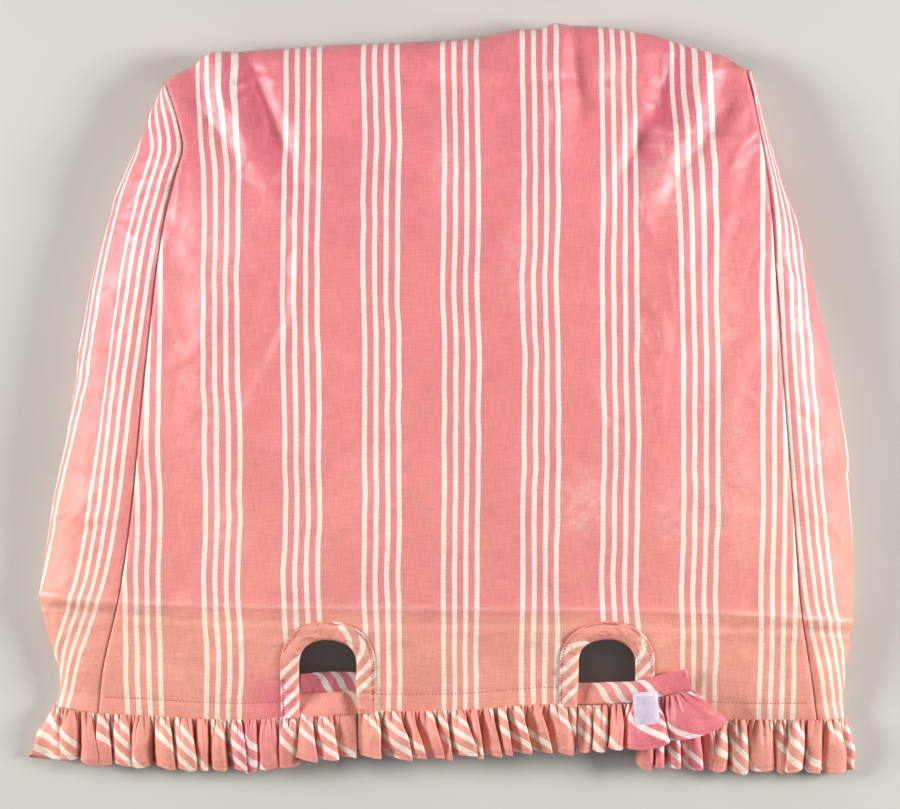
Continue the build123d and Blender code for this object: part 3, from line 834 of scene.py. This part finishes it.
def gather(
    place, drop, fullness, seed, phase=0.0, pitch=(10.0, 17.0), depth=1.0, lean=(-3.0, 4.0), calm=None, widths=(),
    tight_reach=0.32, tight_size=1.0,
):
    """A strip gathered along a line, with folds that grow from its seam to its hem.

    place(s, t) gives the point at s mm along the line and a share t down, and the way out from the cloth.
    Folds are about `pitch` wide and slope sideways by `lean`, and `widths` sets the first ones. The tight
    gathers die out below a share `tight_reach`. calm(s) is 0 where the strip stays flat.
    Returns the points, the flat cut, and how deep in a fold each point lies, from 0 to 1.
    """
    step, rows = 1.15, 34
    rng = np.random.RandomState(seed)
    total = place.length
    widths = list(widths)
    while sum(widths) < total - pitch[0] / 2:
        widths.append(rng.uniform(*pitch) * rng.choice([0.75, 1.0, 1.2]))
    widths = np.array(widths) * total / sum(widths)
    edges = np.concatenate([[0], np.cumsum(widths)])
    count = int(total * fullness / step)
    q = np.linspace(0, 1, count)
    fold_at = np.interp(q, edges / total, np.arange(len(edges)))
    i = np.minimum(fold_at.astype(int), len(widths) - 1)
    f = fold_at - i
    w = widths[i]
    swing = rng.uniform(0.15, 0.24, len(widths))[i] * w
    height = rng.uniform(3.3, 5.6, len(widths))[i] * depth
    leaning = rng.uniform(*lean, len(widths))[i]
    shorter = rng.uniform(-1.6, 1.6, len(widths))[i]
    bulge = rng.uniform(0.5, 0.9, len(widths))[i]
    t = np.linspace(0, 1, rows)[:, None]
    grow = smooth(-0.10, 0.62, t) ** bulge
    turn = 2 * np.pi * f
    peaked = f ** np.clip(1 + 0.09 * leaning, 0.75, 1.8)  # a fold that leans is steeper on that side
    up = (1 - np.cos(2 * np.pi * peaked)) / 2
    base_s = edges[i] + f * w
    s = base_s - swing * np.sin(turn) * grow + leaning * up**0.8 * t
    lift = 2 * height * up**0.75 * grow * (1.1 - 0.25 * t)
    tight = np.exp(-t / tight_reach)
    pleats = 2 * np.pi * (base_s / 3.9 + 0.6 * noise(base_s, 0, 9, seed + 1))
    ruck = np.abs(np.sin(pleats / 2)) ** 0.8
    lift = lift + 3.5 * tight_size * (ruck - 0.45) * tight
    deep = np.clip(1.1 * (1 - up) ** 3.5 * grow + 1.1 * (1 - ruck) ** 1.5 * tight * tight_size, 0, 1)
    s = s - 0.5 * np.sin(pleats) * tight
    lift = lift - 3.0 * (1 - up) ** 2 * grow
    flat_q = q * total * fullness
    lift = lift + 0.9 * noise(flat_q, t * 34, 9, seed + 2) * (0.4 + t) + 0.6 * ridges(flat_q, t * 26, 12, seed + 3)
    s = s + 1.6 * noise(flat_q, t * 30, 17, seed + 6) * t
    if calm is not None:  # flatter toward the end that swings
        lift = lift * (0.08 + 0.92 * calm(s))
    down = t * drop + shorter * up * t + 0.6 * noise(flat_q, 0, 14, seed + 4) * t
    down = down + 0.10 * drop * (up - 0.6) * t**2
    point, out = place(s, down / drop)
    points = point + out * lift[..., None]
    cut = np.stack([np.broadcast_to(flat_q + phase, lift.shape), -np.broadcast_to(t * drop, lift.shape)], -1)
    return points, cut, deep


class HemPlace:
    """The line of the cover's hem, as a section in x and z whose y follows the hem."""

    def __init__(self, x, z, drop, fall, flare):
        self.x, self.z = np.array(x, float), np.array(z, float)
        self.at = distances(self.x, self.z)
        self.length = self.at[-1]
        self.drop, self.fall, self.flare = drop, fall, flare

    def __call__(self, s, share):
        x, z = np.interp(s, self.at, self.x), np.interp(s, self.at, self.z)
        dx = np.interp(s + 2, self.at, self.x) - np.interp(s - 2, self.at, self.x)
        dz = np.interp(s + 2, self.at, self.z) - np.interp(s - 2, self.at, self.z)
        size = np.hypot(dx, dz) + 1e-9
        out = np.stack([-dz / size, np.zeros_like(x), dx / size], -1)
        steep = smooth(0.25, 0.9, np.abs(dz / size))
        y = hem_line(x) + 1.6 * (1 - share) - self.drop * share
        fall = np.minimum(self.fall, np.maximum(z - 2.0, 0)) * share**1.3
        x = x + out[..., 0] * self.flare * share * steep
        z = z - fall * smooth(0.2, 0.8, out[..., 2])
        return np.stack([x, y, z], -1), out


def front_line(x_low, x_high, count=160):
    x = np.linspace(x_low, x_high, count)
    return x, front_surface(x, hem_line(x) + 1.5) - 1.1


FULLNESS = 1.8  # length of a frill's strip, as a share of the seam that it is gathered onto
EVERYWHERE = (-400, 400)


def frill_mesh(node, points, cut, drop, deep, fade, mark):
    """The mesh of a gathered strip, with painted shade deep in its folds and darker along its hem's stitching."""
    # painted shade in the fold valleys, and a darker line at the hem's stitching
    soil_shade_and_sheen = np.clip(mark * bell(cut[..., 1] + drop - 3.2, 0.6) + 0.8 * deep, 0, 1)
    piece = add_cloth(node, points, cut, np.clip(fade, 0, 1), soil_shade_and_sheen, bias=BIAS)
    rounding = piece.modifiers.new("round", "SUBSURF")
    rounding.levels = rounding.render_levels = 1
    return piece


def frill_piece(node, line, drop, seed, fall, flare, within=EVERYWHERE, **how):
    points, cut, deep = gather(HemPlace(line[0], line[1], drop, fall, flare), drop, FULLNESS, seed, **how)
    points[..., 0] = np.clip(points[..., 0], *within)
    points[..., 2] = np.maximum(points[..., 2], 0.45 + 0.25 * noise(points[..., 0], points[..., 1], 5, seed + 9))
    fade = frill_fade(points[..., 0], points[..., 1]) + 0.08 * noise(cut[..., 0], cut[..., 1], 20, seed + 5)
    piece = frill_mesh(node, points, cut, drop, deep, fade, 0.35)
    declare(piece, node, "cover")




def frill_fade(x, y):
    value = 0.86 + 0.08 * noise(x, y, 45, 81)
    for centre, width, amount in ((-142, 9, 0.62), (170, 13, 0.5), (194, 9, 0.55), (-118, 8, 0.3)):
        value = value - amount * bell(x - centre, width)
    return value


side_x, side_z, _ = gusset_path(low_left, -1, 60)
front_x, front_z = front_line(-253, LEFT_ARCH_X - ARCH_HALF + 1.5)
left_line = (np.concatenate([side_x[::-1], front_x]), np.concatenate([side_z[::-1], front_z]))
frill_piece("left_frill", left_line, 37.0, 101, fall=9.0, flare=20.0, lean=(-2.5, 5.0))
frill_piece(
    "middle_frill", front_line(LEFT_ARCH_X + ARCH_HALF - 0.5, RIGHT_ARCH_X - ARCH_HALF + 1.0),
    34.0, 102, fall=4.0, flare=0.0, within=(left_hinge_x + 2.6, right_hinge_x - 2.6), lean=(4.0, 10.0),
    calm=lambda s: smooth(-2, 9, s) * smooth(166, 155, s),
)
side_x, side_z, _ = gusset_path(low_right, 1, 60)
front_x, front_z = front_line(RIGHT_ARCH_X + ARCH_HALF + 0.5, 285)
right_line = (np.concatenate([front_x, side_x]), np.concatenate([front_z, side_z]))
frill_piece("right_frill", right_line, 37.5, 103, fall=8.0, flare=5.0, lean=(-2.0, 4.5))


# ---------------------------------------------------------------- straps


def band(node, body, middle, half_width, thick, fade, seed, phase, bias):
    """A flattened tube of cloth along a line of (x, y, z, tilt) points, like a turned strap.

    The body's hinge is at the line's start, where the tube is thin to leave room for the swing.
    """
    m = np.array(middle, float)
    chord = distances(*m[:, :3].T)
    at = np.linspace(0, chord[-1], max(int(chord[-1] / 1.1), 20))
    x, y, z, tilt = (curve(*zip(chord, m[:, k]))(at) for k in range(4))
    dx, dy = np.gradient(x), np.gradient(y)
    size = np.hypot(dx, dy)
    wx, wy = -dy / size, dx / size
    angle = np.linspace(0, 2 * np.pi, 49)[:-1][:, None]
    c, s = np.cos(angle), np.sin(angle)
    flat_c = np.sign(c) * np.abs(c) ** 0.75
    flat_s = np.sign(s) * np.abs(s) ** 0.85
    girth_length = half_width * 4.0
    girth = np.broadcast_to(angle * girth_length / (2 * np.pi), (48, len(at)))
    ripple = 0.45 * noise(at, girth, 7, seed) + 0.5 * ridges(at, girth * 1.1, 9, seed + 1)
    across_mm = flat_c * (half_width + 0.4 * noise(at, 0, 12, seed + 2))
    rise = flat_s * (thick / 2 + np.clip(ripple, -0.3, 1.2)) * (0.3 + 0.7 * smooth(6, 15, at))
    lean = np.radians(tilt)
    px = x + wx * across_mm * np.cos(lean)
    py = y + wy * across_mm * np.cos(lean)
    pz = z + across_mm * np.sin(lean) + rise
    # the ends close like a folded edge
    end = np.minimum(smooth(0, 2.2, at), smooth(0, 2.2, at[-1] - at)) ** 0.5
    pz = z + (pz - z) * (0.25 + 0.75 * end)
    cut = np.stack([np.broadcast_to(at, px.shape) + phase, girth], -1)
    points = np.stack([px, py, pz], -1)
    piece = add_cloth(
        node, points[::-1], cut[::-1], np.clip(fade(px, py, pz), 0, 1)[::-1], bias=bias, wrap=-girth_length, thick=0
    )
    declare(piece, node, body)
    return piece


RIGHT_PATCH_SIZE = (18.6, 24.6)  # its node's box is larger, because it lies askew
strap_z = node_middle("left_strap")[2]
tab_z = float(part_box("left_strap_tab")[0].z) / MM + 1.0
band(
    "left_strap", "left_strap_end",
    [
        (left_hinge_x + 4.5, -228.0, strap_z - 1.5, 0), (left_hinge_x - 12, -228.4, strap_z + 0.8, 4),
        (left_hinge_x - 28, -229.6, strap_z + 0.9, 8), (left_end_x - 1.6, -230.4, strap_z + 0.4, 14),
    ],
    8.6, 2.6, lambda x, y, z: 0.80 + 0.05 * noise(x, y, 9, 91) - 0.3 * smooth(6, 0, x - left_end_x),
    92, 50.0, -BIAS,
)
band(
    "left_strap_tab", "left_strap_end",
    [
        (left_hinge_x + 2.0, -213.6, tab_z - 0.5, 0), (left_hinge_x - 16, -213.4, tab_z + 1.4, -3),
        (left_end_x + 12, -214.0, tab_z + 1.8, -5), (left_end_x - 1.6, -214.6, tab_z + 1.6, -8),
    ],
    8.2, 2.2, lambda x, y, z: 0.18 + 0.12 * smooth(left_end_x + 14, left_hinge_x, x), 94, 28.0, -BIAS,
)

right_middle = [
    (right_hinge_x - 4.5, -221.3, 25.2, 0), (116, -221.0, 26.6, 0), (126, -220.5, 29.0, 0), (138, -219.8, 33.6, 2),
    (150, -218.6, 36.0, 3), (164, -215.4, 36.2, 3), (178, -211.8, 36.6, 4), (188.5, -209.6, 38.6, 8),
]
band(
    "right_strap", "right_strap_end", right_middle, 8.2, 2.6,
    lambda x, y, z: 0.78 - 0.62 * smooth(140, 154, x) + 0.04 * noise(x, y, 9, 95), 96, 78.0, -BIAS,
)


class StrapPlace:
    """The lower edge of a strap, from which its frill hangs."""

    def __init__(self, points, drop):
        p = np.array(points, float)
        self.at = distances(*p[:, :3].T)
        self.length = self.at[-1]
        self.lines = [curve(*zip(self.at, p[:, k])) for k in range(4)]
        self.drop = drop

    def __call__(self, s, share):
        x, y, z, way = (line(s) for line in self.lines)
        turn = np.radians(way)
        x = x + np.sin(turn) * self.drop * share
        y = y - np.cos(turn) * self.drop * share
        return np.stack([x, y, z + 0 * share], -1), np.array([0.0, 0.0, 1.0])


def strap_frill(
    node, body, slot, line, drop, seed, fade, fullness=FULLNESS, under=None, within=EVERYWHERE, **how
):
    """A strap's frill. `under` is the centre, size and height of a patch that it passes below."""
    points, cut, deep = gather(StrapPlace(line, drop), drop, fullness, seed, **how)
    points[..., 0] = np.clip(points[..., 0], *within)
    if under is not None:
        (cx, cy), (w, h), top = under
        near = smooth(w / 2 + 5, w / 2, np.abs(points[..., 0] - cx))
        near = near * smooth(h / 2 + 5, h / 2, np.abs(points[..., 1] - cy))
        points[..., 2] -= near * np.maximum(points[..., 2] - top, 0)
    tone = fade(points[..., 0], points[..., 1]) + 0.05 * noise(cut[..., 0], cut[..., 1], 16, seed + 5)
    piece = frill_mesh(node, points, cut, drop, deep, tone, 0.3)
    declare(piece, node, body)


strap_frill(
    "left_strap_frill", "left_strap_end", "frill_chintz",
    [
        (left_end_x - 2.5, -238.6, strap_z + 1.0, -4), (-82, -237.6, strap_z - 0.4, 2),
        (left_hinge_x + 1.0, -236.4, strap_z - 1.2, 4),
    ],
    33.0, 111, lambda x, y: 0.82, phase=11.0, pitch=(12.0, 16.0), depth=0.9,
    lean=(4.0, 8.0), within=(-400, left_hinge_x + 0.9), calm=lambda s: smooth(41, 25, s),
)
strap_frill(
    "right_strap_frill", "right_strap_end", "unfaded_chintz",
    [
        (right_hinge_x - 1.5, -229.9, 25.6, -4), (118, -229.4, 26.2, -5), (127, -228.8, 28.8, -5),
        (140, -227.9, 34.0, -4), (152, -226.8, 35.2, 2), (166, -223.6, 35.4, 12), (180, -220.2, 35.8, 26),
        (193.0, -217.4, 37.2, 46),
    ],
    33.5, 118, lambda x, y: 0.80 - 0.62 * smooth(134, 150, x), fullness=1.9, phase=102.0, widths=[12, 13, 12, 27, 29],
    depth=0.9, lean=(0.0, 3.0), within=(right_hinge_x - 1.2, 400), calm=lambda s: smooth(5, 20, s),
    tight_reach=0.45, tight_size=1.2,
    under=((156.3, -231.0), RIGHT_PATCH_SIZE, 39.6),
)


# ---------------------------------------------------------------- hook-and-loop patches


def patch(node, body, turn, surface, seed, size=None):
    """A rounded piece of tape with its field of small hooks, which lies where its node does."""
    name, centre = node + "_tape", node_middle(node)
    w, h = size or node_size(node)
    verts, faces = [], []
    columns, rows = 19, 25

    def put(x, y, z):
        c, s = math.cos(turn), math.sin(turn)
        verts.append(((centre[0] + x * c - y * s) * MM, (centre[1] + x * s + y * c) * MM, z * MM))
        return len(verts) - 1

    def level(x, y):
        c, s = math.cos(turn), math.sin(turn)
        return float(surface(centre[0] + x * c - y * s, centre[1] + x * s + y * c))

    layers = []
    for top in (True, False):
        grid = []
        for j in range(rows):
            line = []
            for i in range(columns):
                a, b = 2 * i / (columns - 1) - 1, 2 * j / (rows - 1) - 1
                x, y = a * w / 2, b * h / 2
                corner = max(0.0, abs(a) + abs(b) - 1.86) * 3.0
                x, y = x - math.copysign(corner, x), y - math.copysign(corner, y)
                edge = max(abs(a), abs(b))
                pillow = 0.9 * (1 - smooth(0.88, 1.0, edge)) + 0.35
                pillow -= 0.35 * math.exp(-(((edge - 0.86) / 0.035) ** 2))
                line.append(put(x, y, level(x, y) + (pillow if top else 0.0)))
            grid.append(line)
        layers.append(grid)
    top, low = layers
    for j in range(rows - 1):
        for i in range(columns - 1):
            faces.append((top[j][i], top[j][i + 1], top[j + 1][i + 1], top[j + 1][i]))
            faces.append((low[j][i], low[j + 1][i], low[j + 1][i + 1], low[j][i + 1]))
    for i in range(columns - 1):
        faces.append((top[0][i + 1], top[0][i], low[0][i], low[0][i + 1]))
        faces.append((top[-1][i], top[-1][i + 1], low[-1][i + 1], low[-1][i]))
    for j in range(rows - 1):
        faces.append((top[j][0], top[j + 1][0], low[j + 1][0], low[j][0]))
        faces.append((top[j + 1][-1], top[j][-1], low[j][-1], low[j + 1][-1]))
    rng = np.random.RandomState(seed)
    for j in range(int((h - 4) / 0.95)):
        for i in range(int((w - 4) / 0.95)):
            x = -w / 2 + 2.2 + i * 0.95 + rng.uniform(-0.15, 0.15)
            y = -h / 2 + 2.2 + j * 0.95 + rng.uniform(-0.15, 0.15)
            z, way, tall = level(x, y) + 1.15, rng.uniform(0, 6.3), rng.uniform(0.6, 0.95)
            cx, cy = math.cos(way), math.sin(way)
            ring = []
            for k in range(5):
                a = math.pi * k / 4
                px, py, pz = x + 0.42 * math.cos(a) * cx, y + 0.42 * math.cos(a) * cy, z + tall * math.sin(a)
                ring.append((put(px - 0.09 * cy, py + 0.09 * cx, pz), put(px + 0.09 * cy, py - 0.09 * cx, pz)))
            for (a, b), (c, d) in zip(ring, ring[1:]):
                faces.append((a, b, d, c))
    mesh = bpy.data.meshes.new(name)
    mesh.from_pydata(verts, [], faces)
    obj = link_mesh(name, mesh, hook_tape)
    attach(obj, body)
    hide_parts(node)


def under_front(x, y):
    return front_surface(x, y) - 3.4


patch(
    "right_strap_patch", "right_strap_end", math.radians(5),
    lambda x, y: 40.2 - 0.004 * (x - 156) ** 2 - 0.005 * (y + 231) ** 2, 121, RIGHT_PATCH_SIZE,
)
patch("left_strap_patch", "left_strap_end", 0.0, lambda x, y: tab_z - 1.6, 122)
patch("left_panel_patch", "cover", 0.0, under_front, 123)
patch("right_panel_patch", "cover", 0.0, under_front, 124)


# ---------------------------------------------------------------- stitching


def stitches(name, body, lines, pitch=2.9, length=2.0, radius=0.3):
    """Rows of thread, each stitch dipping into the cloth at its two ends."""
    verts, faces = [], []
    for line in lines:
        p = np.array(line, float)
        at = distances(*p.T)
        for start in np.arange(0.4, at[-1] - length, pitch):
            rings = []
            for k in range(5):
                s = start + length * k / 4
                centre = np.array([np.interp(s, at, p[:, c]) for c in range(3)])
                ahead = np.array([np.interp(s + 0.3, at, p[:, c]) for c in range(3)]) - centre
                if np.linalg.norm(ahead) < 1e-6:
                    ahead = np.array([1.0, 0, 0])
                ahead /= np.linalg.norm(ahead)
                side = np.cross(ahead, [0, 0, 1.0])
                side /= np.linalg.norm(side) + 1e-9
                up = np.cross(side, ahead)
                dip = -0.32 * abs(k / 2 - 1) ** 2.5
                size = radius * (1 - 0.45 * abs(k / 2 - 1) ** 3)
                ring = []
                for m in range(6):
                    a = m * math.pi / 3
                    spot = centre + size * (math.cos(a) * side * 1.15 + math.sin(a) * up) + up * dip
                    verts.append(tuple(spot * MM))
                    ring.append(len(verts) - 1)
                rings.append(ring)
            for one, two in zip(rings, rings[1:]):
                for m in range(6):
                    faces.append((one[m], one[(m + 1) % 6], two[(m + 1) % 6], two[m]))
            faces.append(tuple(reversed(rings[0])))
            faces.append(tuple(rings[-1]))
    mesh = bpy.data.meshes.new(name)
    mesh.from_pydata(verts, [], faces)
    obj = link_mesh(name, mesh, thread)
    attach(obj, body)


def on_front(x, y, lift=0.3):
    return np.stack([x, y, front_surface(x, y) + lift], -1)


rows = []
for x_low, x_high in (
    (-248, LEFT_ARCH_X - ARCH_REACH),
    (LEFT_ARCH_X + ARCH_REACH, RIGHT_ARCH_X - ARCH_REACH),
    (RIGHT_ARCH_X + ARCH_REACH, 280),
):
    x = np.linspace(x_low, x_high, 240)
    rows.append(on_front(x, hem_line(x) + TOPSTITCH))
stitches("hem_topstitching", "cover", rows)

rows = []
for centre in (LEFT_ARCH_X, RIGHT_ARCH_X):
    x, y, ox, oy, _ = arch_path(centre, 160)
    rows.append(on_front(x + ox * 11.3, np.maximum(y, hem_line(x) + 1) + oy * 11.3, 1.95))
stitches("arch_topstitching", "cover", rows, pitch=2.3, length=1.6)


# ---------------------------------------------------------------- floor and light

bpy.ops.mesh.primitive_plane_add(size=8, location=(0, 0, -0.0002))
floor = bpy.context.object
floor.name = "floor"
paper = Nodes("floor_paper")
grain = paper.noise(paper.make("ShaderNodeTexCoord").outputs["Object"], 3.0, 3.0)
tone = paper.mix(paper.ramp(grain, 0.3, 0.7), linear(197, 194, 187), linear(203, 200, 194))
paper.put(tone, paper.shader.inputs["Base Color"])
paper.shader.inputs["Roughness"].default_value = 0.9
paper.shader.inputs["Specular IOR Level"].default_value = 0.15
floor.data.materials.append(paper.material)


SOFTBOX_SIZE = 0.75
LIGHT_COLOUR = (1.0, 0.99, 0.97)


def softbox(name, place, aim, power):
    light = bpy.data.lights.new(name, "AREA")
    light.shape = "RECTANGLE"
    light.size = light.size_y = SOFTBOX_SIZE
    light.energy = power
    light.color = LIGHT_COLOUR
    obj = bpy.data.objects.new(name, light)
    bpy.context.scene.collection.objects.link(obj)
    obj.location = place
    obj.rotation_mode = "QUATERNION"
    obj.rotation_quaternion = (Vector(aim) - Vector(place)).to_track_quat("-Z", "Y")


softbox("left_softbox", (-2.4, 0.20, 1.12), (-0.05, 0, 0), 75)
softbox("right_softbox", (2.4, 0.18, 1.12), (0.05, 0, 0), 79)
world = bpy.data.worlds.new("studio")
world.use_nodes = True
world.node_tree.nodes["Background"].inputs[0].default_value = (0.92, 0.95, 1.0, 1)
world.node_tree.nodes["Background"].inputs[1].default_value = 0.29
bpy.context.scene.world = world
bpy.context.scene.view_settings.view_transform = "Standard"
